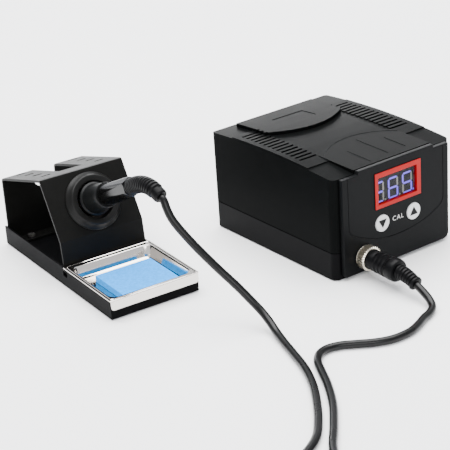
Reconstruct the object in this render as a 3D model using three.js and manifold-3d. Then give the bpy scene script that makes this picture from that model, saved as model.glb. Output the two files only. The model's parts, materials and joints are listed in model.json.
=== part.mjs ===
// Soldering iron station: a mains power unit with a digital front panel, and a bent
// sheet-steel stand that holds the iron above a drop-in sponge tray.
// Millimetres, +Z up, the panel faces -Y. The bench is z = 0.
import * as THREE from 'three';
import { mergeVertices } from 'three/addons/utils/BufferGeometryUtils.js';
import Module from 'manifold-3d';

const wasm = await Module();
wasm.setup();

// ---- driving dimensions ----
const GAP = 0.3;                 // clearance kept between touching pieces
const CASE_W = 130;              // power unit width
const CASE_L = 160;              // power unit depth without the front panel
const CASE_H = 89.5;             // height of the cover at its front and back edges
const CROWN = 3.5;               // rise of the arched top over those edges
const CASE_BOTTOM = 1;           // the feet lift the case by this much
const SEAM = 25;                 // height of the joint between housing and cover
const WALL = 2.5;
const CORNER_R = 6;              // vertical case corners in front
const REAR_R = 2.8;              // and at the back
const PANEL_INSET = 6.5;         // front panel inset from the case sides
const PANEL_PROUD = 4.5;         // front panel face ahead of the case
const SOCKET = { x: 28, z: 16.8 };
const BUTTONS = { down: 48.4, up: 83.2, z: 39.6, r: 7.3 };
const STAND_W = 82;
const STAND_L = 191;
const SHEET = 2;                 // holder sheet thickness
const BASE_SHEET = 1.6;
const WALL_TOP = 17.5;           // height of the stand's side walls
const TRAY_L = 80;
const COLLAR = { x: 42, along: 26, r: 25, faceR: 21, bore: 16, height: 7 };
const IRON_TILT = THREE.MathUtils.degToRad(26);
const IRON_MOUTH = new THREE.Vector3(42, 90.4, 64.6);
const HANDLE_END = 73;           // handle length ahead of the collar's mouth
const CORD_R = 3.25;
const COIL = { x: -228, y: -242, inner: 20, outer: 45.2, top: 13.3 };
const UNIT_PLACE = [20.94, -127.235, 0];     // power unit corner in the part's frame
const STAND_TURN = THREE.MathUtils.degToRad(-4.27);
const STAND_FROM_UNIT = [-171.4, 73];

// ---- shape helpers ----
function solidOf(geometry) {
  const g = geometry.clone();
  g.deleteAttribute('normal');
  g.deleteAttribute('uv');
  const merged = mergeVertices(g, 1e-4);
  return new wasm.Manifold(new wasm.Mesh({
    numProp: 3,
    vertProperties: new Float32Array(merged.attributes.position.array),
    triVerts: new Uint32Array(merged.index.array),
  }));
}

function geometryOf(solid) {
  const mesh = solid.getMesh();
  const g = new THREE.BufferGeometry();
  g.setAttribute('position', new THREE.BufferAttribute(new Float32Array(mesh.vertProperties), 3));
  g.setIndex(new THREE.BufferAttribute(new Uint32Array(mesh.triVerts), 1));
  g.computeVertexNormals();
  return g;
}

function join(...geometries) {
  return geometryOf(geometries.map(solidOf).reduce((a, b) => a.add(b)));
}

function cut(body, ...tools) {
  return geometryOf(tools.map(solidOf).reduce((a, b) => a.subtract(b), solidOf(body)));
}

function common(a, b) {
  return geometryOf(solidOf(a).intersect(solidOf(b)));
}

function block([x0, x1], [y0, y1], [z0, z1]) {
  const g = new THREE.BoxGeometry(x1 - x0, y1 - y0, z1 - z0);
  return g.translate((x0 + x1) / 2, (y0 + y1) / 2, (z0 + z1) / 2);
}

// A block whose lower face is drawn in by `draft` on every side.
function taperedBlock([x0, x1], [y0, y1], [z0, z1], draft) {
  const g = block([x0, x1], [y0, y1], [z0, z1]);
  const p = g.attributes.position;
  for (let i = 0; i < p.count; i++) {
    if (p.getZ(i) > (z0 + z1) / 2) continue;
    p.setX(i, p.getX(i) + Math.sign((x0 + x1) / 2 - p.getX(i)) * draft);
    p.setY(i, p.getY(i) + Math.sign((y0 + y1) / 2 - p.getY(i)) * draft);
  }
  return g;
}

const AXES = {
  x: new THREE.Vector3(1, 0, 0),
  y: new THREE.Vector3(0, 1, 0),
  z: new THREE.Vector3(0, 0, 1),
};

// Turn a Z-up geometry so that its own Z runs along `direction`, then move it to `at`.
function aim(geometry, direction, at) {
  const q = new THREE.Quaternion().setFromUnitVectors(AXES.z, direction.clone().normalize());
  return geometry.applyQuaternion(q).translate(at.x, at.y, at.z);
}

// A turned piece: [radius, distance] pairs, the axis closing both ends.
function turned(profile, segments = 24) {
  const points = profile.map(([r, t]) => new THREE.Vector2(r, t));
  const g = new THREE.LatheGeometry(points, segments);
  return g.rotateX(Math.PI / 2);
}

function disc(r, z0, z1, segments = 24) {
  return turned([[0, z0], [r, z0], [r, z1], [0, z1]], segments);
}

function ring(inner, outer, z0, z1, segments = 24) {
  return turned([[inner, z0], [outer, z0], [outer, z1], [inner, z1], [inner, z0]], segments);
}

function polygon(points) {
  const shape = new THREE.Shape();
  points.forEach(([u, v], i) => (i ? shape.lineTo(u, v) : shape.moveTo(u, v)));
  shape.closePath();
  return shape;
}

function roundedRect([x0, x1], [y0, y1], r) {
  const shape = new THREE.Shape();
  shape.moveTo(x0 + r, y0);
  shape.lineTo(x1 - r, y0);
  shape.absarc(x1 - r, y0 + r, r, -Math.PI / 2, 0);
  shape.lineTo(x1, y1 - r);
  shape.absarc(x1 - r, y1 - r, r, 0, Math.PI / 2);
  shape.lineTo(x0 + r, y1);
  shape.absarc(x0 + r, y1 - r, r, Math.PI / 2, Math.PI);
  shape.lineTo(x0, y0 + r);
  shape.absarc(x0 + r, y0 + r, r, Math.PI, Math.PI * 1.5);
  return shape;
}

function upright(shape, z0, z1, curveSegments = 4) {
  const g = new THREE.ExtrudeGeometry(shape, { depth: z1 - z0, bevelEnabled: false, curveSegments });
  return g.translate(0, 0, z0);
}

// A side-view outline (y, z) pushed along X.
function sideways(shape, x0, x1, curveSegments = 4) {
  const g = new THREE.ExtrudeGeometry(shape, { depth: x1 - x0, bevelEnabled: false, curveSegments });
  const turn = new THREE.Matrix4().makeBasis(AXES.y, AXES.z, AXES.x);
  return g.applyMatrix4(turn).translate(x0, 0, 0);
}

// A front-view outline (x, z) pushed along Y.
function facing(shape, y0, y1, curveSegments = 4) {
  const g = new THREE.ExtrudeGeometry(shape, { depth: y1 - y0, bevelEnabled: false, curveSegments });
  const turn = new THREE.Matrix4().makeBasis(AXES.x, AXES.z, AXES.y.clone().negate());
  return g.applyMatrix4(turn).translate(0, y1, 0);
}

// A round bar from y0 to y1 about an axis parallel to Y.
function yDisc(r, x, z, y0, y1, segments = 24) {
  return disc(r, y0, y1, segments).rotateX(-Math.PI / 2).translate(x, 0, z);
}

function yRing(inner, outer, x, z, y0, y1, segments = 24) {
  return ring(inner, outer, y0, y1, segments).rotateX(-Math.PI / 2).translate(x, 0, z);
}

function circle(r, sides) {
  const corners = [];
  for (let i = 0; i < sides; i++) {
    const a = (2 * Math.PI * i) / sides;
    corners.push([r * Math.cos(a), r * Math.sin(a)]);
  }
  return polygon(corners);
}

function swept(points, r, sides, steps) {
  const path = new THREE.CatmullRomCurve3(points.map((p) => new THREE.Vector3(...p)), false, 'centripetal');
  return new THREE.ExtrudeGeometry(circle(r, sides), { steps, extrudePath: path, bevelEnabled: false });
}

function piece(name, geometry, color, roughness, metalness = 0) {
  const mesh = new THREE.Mesh(geometry, new THREE.MeshStandardMaterial({ color, roughness, metalness }));
  mesh.name = name;
  return mesh;
}

const BLACK_ABS = ['#1b1c1e', 0.55];
const CHARCOAL_ABS = ['#4a4b4a', 0.6];
const RUBBER = ['#151515', 0.8];
const STEEL = ['#b4b2ad', 0.35, 1];
const PAINT = ['#2b2b2c', 0.5];
const NICKEL = ['#c9c1b3', 0.3, 1];

const unit = new THREE.Group();
const stand = new THREE.Group();
const cords = new THREE.Group();

// ---- power unit case ----
// Outline of the arched case seen from the side, `inset` inside its outer skin.
function archOutline(inset, z0, lift = 0) {
  const top = CASE_H + lift - inset;
  const shape = new THREE.Shape();
  shape.moveTo(inset, z0);
  shape.lineTo(CASE_L - inset, z0);
  shape.lineTo(CASE_L - inset, top);
  shape.quadraticCurveTo(CASE_L / 2, top + 2 * CROWN, inset, top);
  return shape;
}

// Plan of the case, `inset` inside its outer skin.
function casePlan(inset) {
  const [x0, x1] = [inset, CASE_W - inset];
  const [y0, y1] = [inset, CASE_L - inset];
  const front = CORNER_R - inset;
  const rear = REAR_R - inset;
  const shape = new THREE.Shape();
  shape.moveTo(x0 + front, y0);
  shape.lineTo(x1 - front, y0);
  shape.absarc(x1 - front, y0 + front, front, -Math.PI / 2, 0);
  shape.lineTo(x1, y1 - rear);
  shape.absarc(x1 - rear, y1 - rear, rear, 0, Math.PI / 2);
  shape.lineTo(x0 + rear, y1);
  shape.absarc(x0 + rear, y1 - rear, rear, Math.PI / 2, Math.PI);
  shape.lineTo(x0, y0 + front);
  shape.absarc(x0 + front, y0 + front, front, Math.PI, Math.PI * 1.5);
  return shape;
}

function archedBlock(inset, z0, lift = 0) {
  const side = sideways(archOutline(inset, z0, lift), inset, CASE_W - inset, 10);
  const plan = casePlan(inset);
  return common(side, upright(plan, z0, CASE_H + 20, 3));
}

// D-shaped plan: straight edge at y = `flat`, arc of rise `bulge` beyond y = `shoulder`.
function dShape(x0, x1, flat, shoulder, bulge) {
  const shape = new THREE.Shape();
  shape.moveTo(x0, flat);
  shape.lineTo(x1, flat);
  shape.lineTo(x1, shoulder);
  shape.quadraticCurveTo((x0 + x1) / 2, shoulder + 2 * bulge, x0, shoulder);
  return shape;
}

const SCREWS = [[12, 12], [118, 12], [12, 147], [118, 147]];
const REAR_HOLE = [block([20, 110], [CASE_L - WALL - 1, CASE_L + 1], [8, 80])];
const FRONT_HOLE = block([10, CASE_W - 10], [-1, WALL + 1], [6, 86]);
const VENT = { first: 45.4, pitch: 5.9, count: 14, width: 2.6, from: 5.5, length: 18.5 };

function upperCover() {
  const low = SEAM + 0.15;
  let body = archedBlock(0, low);
  const rearPanel = upright(dShape(22.5, 107.5, 153.8, 112, -16), 80, 110, 8);
  body = join(body, common(rearPanel, archedBlock(0.02, 70, 3)));
  const lid = polygon([[0.5, 80], [62, 80], [62, 93.6], [0.5, 92.6]]);
  const frontPanel = upright(dShape(23, 107, 0.5, 44, 14), 80, 110, 8);
  body = join(body, common(frontPanel, sideways(lid, 20, 110)));
  for (const x of [0.4, CASE_W - 24]) {
    const strip = block([x, x + 23.6], [30.5, 131], [80, 110]);
    body = join(body, common(strip, archedBlock(0.35, 70, 1.15)));
  }
  body = cut(body, archedBlock(WALL, low - 1), ...REAR_HOLE, FRONT_HOLE);
  const slots = [];
  for (let i = 0; i < VENT.count; i++) {
    const y = VENT.first + i * VENT.pitch;
    for (const x of [VENT.from, CASE_W - VENT.from - VENT.length]) {
      slots.push(block([x, x + VENT.length], [y, y + VENT.width], [80, 110]));
    }
  }
  body = cut(body, ...slots);
  for (const [x, y] of SCREWS) {
    const nearX = x < CASE_W / 2 ? [1, x] : [x, CASE_W - 1];
    const nearY = y < CASE_L / 2 ? [1, y] : [y, CASE_L - 1];
    const web = block(nearX, [y - 1, y + 1], [low, 38]);
    const web2 = block([x - 1, x + 1], nearY, [low, 38]);
    const inside = archedBlock(1, low);
    body = join(body, common(join(disc(4.5, low, 38, 16).translate(x, y, 0), web, web2), inside));
    body = cut(body, disc(1.9, low - 1, 34, 12).translate(x, y, 0));
  }
  return body;
}

function lowerHousing() {
  const top = SEAM - 0.15;
  const outer = upright(casePlan(0), CASE_BOTTOM, top, 3);
  let body = cut(outer, upright(casePlan(WALL), CASE_BOTTOM + WALL, top + 1, 3), ...REAR_HOLE, FRONT_HOLE);
  for (const [x, y] of SCREWS) {
    body = join(body, disc(4.5, CASE_BOTTOM + 1, top - 0.5, 16).translate(x, y, 0));
    body = cut(body, disc(1.9, 0, top + 1, 12).translate(x, y, 0));
    body = cut(body, disc(3.7, 0, 5, 16).translate(x, y, 0));
  }
  return body;
}

unit.add(piece('lower_housing', lowerHousing(), ...BLACK_ABS));
unit.add(piece('upper_cover', upperCover(), ...CHARCOAL_ABS));

SCREWS.forEach(([x, y], i) => {
  const screw = turned([[0, 2], [3.3, 2], [3.3, 4.7], [1.5, 4.7], [1.5, 33], [0, 33]], 12);
  unit.add(piece(`case_screw_${i + 1}`, screw.translate(x, y, 0), ...STEEL));
});

const CASE_FEET = [[24, 16], [106, 16], [24, 143], [106, 143]];
CASE_FEET.forEach(([x, y], i) => {
  const foot = disc(6, 0, CASE_BOTTOM - GAP, 16).translate(x, y, 0);
  unit.add(piece(`case_foot_${i + 1}`, foot, ...RUBBER));
});

// ---- front panel, display and buttons ----
const PANEL_FACE = -PANEL_PROUD;
const PANEL_SKIN = 2.4;
const FRAME = { x: [40.8, 91.3], z: [53.5, 85] };
const WINDOW = { x: [44.3, 86.8], z: [57, 80.5] };

function frontPanel() {
  const x0 = PANEL_INSET;
  const x1 = CASE_W - PANEL_INSET;
  const outline = polygon([
    [x0 + 2, 3], [x1 - 4, 3], [x1, 6.5], [x1, 89.3], [107, 89.3], [106, 92.4],
    [24, 92.4], [23, 89.3], [x0, 89.3], [x0, 5],
  ]);
  const plate = facing(outline, PANEL_FACE, -GAP);
  const hollow = facing(roundedRect([x0 + 2.5, x1 - 2.5], [6, 86], 3), PANEL_FACE + PANEL_SKIN, 1);
  const displayHole = block([43, 89], [PANEL_FACE - 1, 1], [55.5, 83]);
  const holes = [
    yDisc(BUTTONS.r + 0.3, BUTTONS.down, BUTTONS.z, -10, 1, 28),
    yDisc(BUTTONS.r + 0.3, BUTTONS.up, BUTTONS.z, -10, 1, 28),
    yDisc(8.3, SOCKET.x, SOCKET.z, -10, 1),
  ];
  return cut(plate, hollow, displayHole, ...holes);
}

function displayFrame() {
  const flange = block(FRAME.x, [PANEL_FACE - 0.9, PANEL_FACE - GAP], FRAME.z);
  const neck = block([43.3, 88.2], [PANEL_FACE - 0.9, -1], [55.8, 82.7]);
  return cut(join(flange, neck), block(WINDOW.x, [-10, 1], WINDOW.z));
}

function button(x) {
  return yDisc(BUTTONS.r, x, BUTTONS.z, PANEL_FACE - 0.6, 0.5, 28);
}

function buttonWithStem(x) {
  const flange = yDisc(8.4, x, BUTTONS.z, PANEL_FACE + PANEL_SKIN + GAP, -0.6, 24);
  return join(button(x), flange, yDisc(2, x, BUTTONS.z, 0, 1.5, 12));
}

function tactSwitch(x) {
  const body = block([x - 3, x + 3], [4.2, 8], [BUTTONS.z - 3, BUTTONS.z + 3]);
  return join(body, yDisc(1.75, x, BUTTONS.z, 2.3, 4.5, 12));
}

unit.add(piece('front_panel', frontPanel(), '#26282a', 0.45));
unit.add(piece('display_frame', displayFrame(), '#d9463b', 0.5));
unit.add(piece('display_window', block([44.6, 86.5], [-3.6, -2.4], [57.3, 80.2]), '#3d3d42', 0.1));
unit.add(piece('display_module', block([41, 90], [0.5, 8], [50, 80]), '#33343a', 0.4));
unit.add(piece('display_board', block([18, 112], [8.3, 9.9], [31, 84]), '#2f6b3c', 0.5));
unit.add(piece('button_down', buttonWithStem(BUTTONS.down), '#dcdcdc', 0.45));
unit.add(piece('button_up', buttonWithStem(BUTTONS.up), '#dcdcdc', 0.45));
unit.add(piece('tact_switch_down', tactSwitch(BUTTONS.down), '#202020', 0.4));
unit.add(piece('tact_switch_up', tactSwitch(BUTTONS.up), '#202020', 0.4));

function ironSocket() {
  const flange = yDisc(9.6, SOCKET.x, SOCKET.z, PANEL_FACE - 1.1, PANEL_FACE - GAP);
  const barrel = yDisc(8, SOCKET.x, SOCKET.z, -9, 8);
  return cut(join(flange, barrel), yDisc(6.5, SOCKET.x, SOCKET.z, -12, 4));
}

function socketNut() {
  const nut = yDisc(10.5, SOCKET.x, SOCKET.z, PANEL_FACE + PANEL_SKIN + GAP, 0.6, 6);
  return cut(nut, yDisc(8.3, SOCKET.x, SOCKET.z, -12, 4));
}

unit.add(piece('iron_socket', ironSocket(), ...NICKEL));
unit.add(piece('socket_nut', socketNut(), ...NICKEL));

// ---- mains side: rear panel, inlet, fuse drawer, switch ----
const REAR_Y = CASE_L - WALL - GAP;
const INLET = { x: [22.5, 49.5], z: [25, 57] };
const SWITCH = { x: [88, 102], z: [30.5, 53.5], pivot: [153.5, 42] };
const ROCKER_REST = THREE.MathUtils.degToRad(-8);

function rearPanel() {
  const plate = block([16, 114], [REAR_Y - 2.5, REAR_Y], [6, 82]);
  const inletHole = block([22.2, 49.8], [REAR_Y - 5, REAR_Y + 1], [24.7, 57.3]);
  return cut(plate, inletHole, block([87.7, 102.3], [REAR_Y - 5, REAR_Y + 1], [30.2, 53.8]));
}

function mainsInlet() {
  const body = block(INLET.x, [131, REAR_Y + 1], INLET.z);
  const flange = block([20.5, 51.5], [REAR_Y + GAP, REAR_Y + 2], [22.5, 59.5]);
  const cavity = polygon([[26, 42], [28.5, 40], [43.5, 40], [46, 42], [46, 55], [26, 55]]);
  const drawerSlot = block([26, 46], [138, REAR_Y + 3], [28, 37]);
  return cut(join(body, flange), facing(cavity, 143.5, REAR_Y + 3), drawerSlot);
}

function fuseDrawer() {
  const body = block([26.4, 45.6], [139, REAR_Y + 1.8], [28.4, 36.6]);
  return cut(body, block([29, 43], [141, 152], [30.5, 40]));
}

function switchFrame() {
  const body = block(SWITCH.x, [138, REAR_Y + 1], SWITCH.z);
  const flange = block([86, 104], [REAR_Y + GAP, REAR_Y + 2], [28.5, 55.5]);
  return cut(join(body, flange), block([89.5, 100.5], [145, REAR_Y + 3], [31.6, 52.4]));
}

function rocker() {
  const outline = polygon([[5, -9], [3.6, 0], [5, 9], [0, 8.5], [-5, 4], [-5, -4], [0, -8.5]]);
  const g = sideways(outline, 89.9, 100.1);
  g.rotateX(ROCKER_REST);
  return g.translate(0, SWITCH.pivot[0], SWITCH.pivot[1]);
}

unit.add(piece('rear_panel', rearPanel(), '#232426', 0.55));
unit.add(piece('mains_inlet', mainsInlet(), '#1c1c1e', 0.5));
unit.add(piece('fuse_drawer', fuseDrawer(), '#202022', 0.5));
unit.add(piece('switch_frame', switchFrame(), '#1c1c1e', 0.5));
unit.add(piece('power_rocker', rocker(), '#b3231d', 0.35));

// ---- inside: transformer and boards ----
const CORE = { x: [50, 116], y: [80, 113], z: [5.7, 60.7], leg: 22, window: 11 };

function transformerCore() {
  const [x0, x1] = CORE.x;
  const [z0, z1] = CORE.z;
  const w = CORE.window;
  const windows = [[x0 + w, x0 + 2 * w], [x1 - 2 * w, x1 - w]].map(
    (x) => block(x, [CORE.y[0] - 1, CORE.y[1] + 1], [z0 + w, z1 - w]));
  return cut(block(CORE.x, CORE.y, CORE.z), ...windows);
}

function transformerWinding() {
  const [x0, x1] = CORE.x;
  const [y0, y1] = CORE.y;
  const w = CORE.window;
  const z = [CORE.z[0] + w + GAP, CORE.z[1] - w - GAP];
  const outer = block([x0 + w + GAP, x1 - w - GAP], [y0 - w, y1 + w], z);
  const leg = block([x0 + 2 * w - GAP, x1 - 2 * w + GAP], [y0 - GAP, y1 + GAP], [0, 90]);
  return cut(outer, leg);
}

function transformerBracket() {
  const [x0, x1] = CORE.x;
  const y = [CORE.y[0] + 2, CORE.y[1] - 2];
  const strap = block([x0 - 2, x1 + 2], y, [3.8, CORE.z[1] + 1.8]);
  const inside = block([x0 - 0.5, x1 + 0.5], [0, 200], [CORE.z[0] - 0.4, CORE.z[1] + GAP]);
  const ears = block([x0 - 9, x1 + 9], y, [3.8, 5.3]);
  return join(cut(strap, inside), ears);
}

unit.add(piece('transformer_core', transformerCore(), '#55575a', 0.5, 0.8));
unit.add(piece('transformer_winding', transformerWinding(), '#c8a13a', 0.5));
unit.add(piece('transformer_bracket', transformerBracket(), ...STEEL));
unit.add(piece('control_board', block([6, 36], [20, 120], [9, 10.6]), '#2f6b3c', 0.5));
unit.add(piece('smoothing_capacitor', disc(8, 10.9, 31, 16).translate(22, 60, 0), '#1d2a55', 0.4));

// ---- iron plug in the panel socket ----
function plugBody() {
  const profile = [
    [0, -3], [6.2, -3], [6.2, 9.3], [8.6, 9.3], [8.6, 20], [8, 20.5], [8, 22], [9, 22.5], [9, 24.5],
    [8, 25], [8, 26.5], [9, 27], [9, 29], [8, 29.5], [8, 31], [9.2, 31.5], [9.2, 33.5],
    [8.2, 34], [8.2, 35.5], [9.5, 36.5], [9.7, 41], [9, 45], [7, 46], [0, 46],
  ];
  return turned(profile, 20).rotateX(Math.PI / 2).translate(SOCKET.x, 0, SOCKET.z);
}

function couplingRing() {
  const teeth = 28;
  const outline = [];
  for (let i = 0; i < 2 * teeth; i++) {
    const a = (Math.PI * i) / teeth;
    const r = i % 2 ? 10.1 : 10.6;
    outline.push([SOCKET.x + r * Math.cos(a), SOCKET.z + r * Math.sin(a)]);
  }
  const knurled = facing(polygon(outline), -14.2, -5.9);
  return cut(knurled, yDisc(8.9, SOCKET.x, SOCKET.z, -16, 0, 28));
}

const RELIEF_ROUTE = [
  [28, -46.7, 16.8], [28, -50, 16.7], [28, -55, 16], [27.8, -61, 14.5], [27.5, -66, 12.8],
];

unit.add(piece('plug_body', plugBody(), ...RUBBER));
unit.add(piece('coupling_ring', couplingRing(), ...NICKEL));
unit.add(piece('plug_relief', swept(RELIEF_ROUTE, 6, 10, 8), ...RUBBER));

// ---- stand: base, holder, collar, guide ----
function standBase() {
  const floor = block([0, STAND_W], [0.1, STAND_L], [CASE_BOTTOM, CASE_BOTTOM + BASE_SHEET]);
  const wallOutline = polygon([
    [0.1, CASE_BOTTOM + 3], [2, CASE_BOTTOM], [STAND_L, CASE_BOTTOM], [STAND_L, WALL_TOP],
    [81, WALL_TOP], [80.5, WALL_TOP - 0.7], [0.1, WALL_TOP - 0.7],
  ]);
  const left = sideways(wallOutline, 0, BASE_SHEET);
  const right = sideways(wallOutline, STAND_W - BASE_SHEET, STAND_W);
  const front = block([0.5, STAND_W - 0.5], [0.1, 0.1 + BASE_SHEET], [CASE_BOTTOM, 16.4]);
  const thumbNotch = block([-1, 3], [74, 81], [10, 14.5]);
  const holes = STAND_SCREWS.map(([x, y]) => disc(1.9, -1, 6, 12).translate(x, y, 0));
  return cut(join(floor, left, right, front), thumbNotch, ...holes);
}

// Outer line of the bent holder sheet, foot to foot, seen from the left (y, z).
const FOOT_Z = CASE_BOTTOM + BASE_SHEET + GAP;
const HOLDER_LINE = [
  [96, FOOT_Z], [81.3, FOOT_Z], [81.3, 17.5], [83.5, 38], [109.9, 83.2], [111.2, 84.8],
  [113.2, 84.8], [186.8, 63.7], [189, 62.2], [189.8, 59.6], [189.8, FOOT_Z], [175.5, FOOT_Z],
];
const SLOPE_FROM = new THREE.Vector2(83.5, 38);
const SLOPE_TO = new THREE.Vector2(109.9, 83.2);
const SLOPE = SLOPE_TO.clone().sub(SLOPE_FROM).normalize();
const SLOPE_OUT = new THREE.Vector3(0, -SLOPE.y, SLOPE.x);
const COLLAR_SEAT = new THREE.Vector3(
  COLLAR.x, SLOPE_FROM.x + SLOPE.x * COLLAR.along, SLOPE_FROM.y + SLOPE.y * COLLAR.along);
const STAND_SCREWS = [[20, 90], [62, 90], [20, 181], [62, 181]];

// The finger notch over the barrel, and the cooling slots in both flaps of the top.
const NOTCH = { x: 42, r: 11, z: 56, from: 133 };
const TOP_SLOTS = { x: [17.5, 68.5], first: 131, pitch: 16.9, count: 4, long: 8.4, wide: 3.4 };

// The closed outline of a bent sheet: the line, and the same line moved in by the thickness.
function bentSheet(line, thickness) {
  const points = line.map(([u, v]) => new THREE.Vector2(u, v));
  const inner = points.map((p, i) => {
    const before = points[Math.max(i - 1, 0)];
    const after = points[Math.min(i + 1, points.length - 1)];
    const a = (i ? p.clone().sub(before) : after.clone().sub(p)).normalize();
    const b = (i < points.length - 1 ? after.clone().sub(p) : a.clone()).normalize();
    const na = new THREE.Vector2(a.y, -a.x);
    const nb = new THREE.Vector2(b.y, -b.x);
    const mitre = na.clone().add(nb).normalize();
    return p.clone().addScaledVector(mitre, thickness / mitre.dot(na));
  });
  return polygon([...points, ...inner.reverse()].map((p) => [p.x, p.y]));
}

function holderBracket() {
  const sheet = sideways(bentSheet(HOLDER_LINE, SHEET), 1.9, STAND_W - 1.9);
  const notchTop = block([NOTCH.x - NOTCH.r, NOTCH.x + NOTCH.r], [NOTCH.from, 200], [NOTCH.z, 120]);
  const notchRound = yDisc(NOTCH.r, NOTCH.x, NOTCH.z, 170, 200, 24);
  const slots = [];
  for (let i = 0; i < TOP_SLOTS.count; i++) {
    for (const x of TOP_SLOTS.x) {
      const y = TOP_SLOTS.first + i * TOP_SLOTS.pitch;
      const [dx, dy] = [TOP_SLOTS.long / 2, TOP_SLOTS.wide / 2];
      slots.push(block([x - dx, x + dx], [y - dy, y + dy], [55, 100]));
    }
  }
  const collarHole = aim(disc(19, -20, 20, 28), SLOPE_OUT, COLLAR_SEAT);
  const holes = STAND_SCREWS.map(([x, y]) => disc(1.9, -1, 10, 12).translate(x, y, 0));
  return cut(sheet, notchTop, notchRound, ...slots, collarHole, ...holes);
}

function collar() {
  const profile = [
    [COLLAR.bore, -10], [18.7, -10], [18.7, 0], [COLLAR.r, 0], [COLLAR.r, 1], [COLLAR.r - 1.4, 3],
    [COLLAR.faceR, COLLAR.height - 0.8], [COLLAR.faceR - 1, COLLAR.height],
    [COLLAR.bore + 1, COLLAR.height], [COLLAR.bore, COLLAR.height - 1.5], [COLLAR.bore, -10],
  ];
  const lifted = COLLAR_SEAT.clone().addScaledVector(SLOPE_OUT, GAP);
  return aim(turned(profile, 32), SLOPE_OUT, lifted);
}

function collarRing() {
  return aim(ring(19, 23.5, -5.3, -2.4, 24), SLOPE_OUT, COLLAR_SEAT);
}

stand.add(piece('stand_base', standBase(), '#2a2a2c', 0.5));
stand.add(piece('holder_bracket', holderBracket(), ...PAINT));
stand.add(piece('holder_collar', collar(), '#3b3b3a', 0.5));
stand.add(piece('collar_ring', collarRing(), ...STEEL));

// Everything on the iron is turned about its own axis; t is measured out of the collar's mouth.
const IRON_OUT = new THREE.Vector3(0, -Math.cos(IRON_TILT), Math.sin(IRON_TILT));
function onIron(geometry) {
  return aim(geometry, IRON_OUT, IRON_MOUTH);
}

function ironGuide() {
  const profile = [
    [12.5, -20], [19.5, -20], [19.5, -21.5], [14, -21.5], [8, -70], [6.8, -70], [12.5, -21.5], [12.5, -20],
  ];
  return onIron(turned(profile.reverse(), 24));
}

stand.add(piece('iron_guide', ironGuide(), '#6b4a2f', 0.6));

STAND_SCREWS.forEach(([x, y], i) => {
  const z = FOOT_Z + SHEET + GAP;
  const end = CASE_BOTTOM + 0.3;
  const screw = turned([[0, end], [1.5, end], [1.5, z], [3.3, z], [3.3, z + 2], [0, z + 2]], 12);
  stand.add(piece(`holder_screw_${i + 1}`, screw.translate(x, y, 0), ...STEEL));
});

const STAND_FEET = [[12, 12], [70, 12], [12, 176], [70, 176]];
STAND_FEET.forEach(([x, y], i) => {
  const foot = disc(6, 0, CASE_BOTTOM - GAP, 16).translate(x, y, 0);
  stand.add(piece(`stand_foot_${i + 1}`, foot, ...RUBBER));
});

// ---- sponge tray and sponge ----
const TRAY_WALL = 0.8;
const TRAY_FLOOR = 7;

function spongeTray() {
  const flange = block([-0.4, STAND_W + 0.4], [-1, TRAY_L], [WALL_TOP - 0.4, WALL_TOP + 0.5]);
  const skirt = block([0.2, STAND_W - 0.2], [-1, -0.2], [9, WALL_TOP]);
  const [x, y] = [[3.6, 78.4], [2.9, 73.5]];
  const grown = (range) => [range[0] - TRAY_WALL, range[1] + TRAY_WALL];
  const pan = taperedBlock(grown(x), grown(y), [TRAY_FLOOR - TRAY_WALL, WALL_TOP], 2.5);
  const hollow = taperedBlock(x, y, [TRAY_FLOOR, WALL_TOP + 0.6], 2.5);
  return cut(join(flange, skirt, pan), hollow);
}

stand.add(piece('sponge_tray', spongeTray(), '#e4e2e0', 0.08, 1));
stand.add(piece('sponge', block([17.5, 70.5], [5.8, 57.5], [TRAY_FLOOR + GAP, 13.2]), '#86c5f8', 0.95));

// ---- soldering iron ----
function ironSleeve() {
  return onIron(turned([
    [0, -14], [8, -14], [9, -2], [14.3, -2], [14.3, 0.6], [12.8, 1.4], [11.4, 12], [10.6, 24], [0, 24],
  ], 28));
}

function ironHandle() {
  const start = 24 + GAP;
  const body = turned([[0, start], [9.4, start], [9.2, 45], [8.2, HANDLE_END], [0, HANDLE_END]], 28);
  const flats = [];
  for (let i = 0; i < 6; i++) {
    const flat = block([-8, 8], [0, 10], [-4, 60]);
    flat.translate(0, 9.35, 0).rotateX(THREE.MathUtils.degToRad(3.2)).translate(0, 0, 29);
    flats.push(flat.rotateZ((i + 0.5) * Math.PI / 3));
  }
  return onIron(cut(body, ...flats));
}

function barrelNut() {
  return onIron(cut(disc(7.5, -24, -14 - GAP, 6), disc(4.8, -30, 0, 16)));
}

function barrelTube() {
  return onIron(ring(3.9, 4.5, -62, -14.6, 16));
}

function solderingTip() {
  const profile = [
    [0, -84], [0.5, -83.8], [3.6, -71], [3.6, -66], [4.4, -66], [4.4, -62.3], [0, -62.3],
  ];
  return onIron(turned(profile, 16));
}

const BOOT_ROUTE = [
  [42, 24.3, 96.8], [42, 16, 100.8], [42.1, 7.5, 103.9], [42.4, -1, 105.2], [43, -9.5, 104.4],
  [44.3, -18, 100.5],
];

stand.add(piece('iron_sleeve', ironSleeve(), '#1d1e20', 0.5));
stand.add(piece('iron_handle', ironHandle(), '#121214', 0.2));
stand.add(piece('barrel_nut', barrelNut(), ...NICKEL));
stand.add(piece('barrel_tube', barrelTube(), ...STEEL));
stand.add(piece('heater_element', onIron(disc(2.6, -60, -15, 12)), '#e8e2d4', 0.7));
stand.add(piece('soldering_tip', solderingTip(), '#9a9a96', 0.35, 1));
stand.add(piece('iron_boot', swept(BOOT_ROUTE, 6.9, 12, 12), ...RUBBER));

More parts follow.
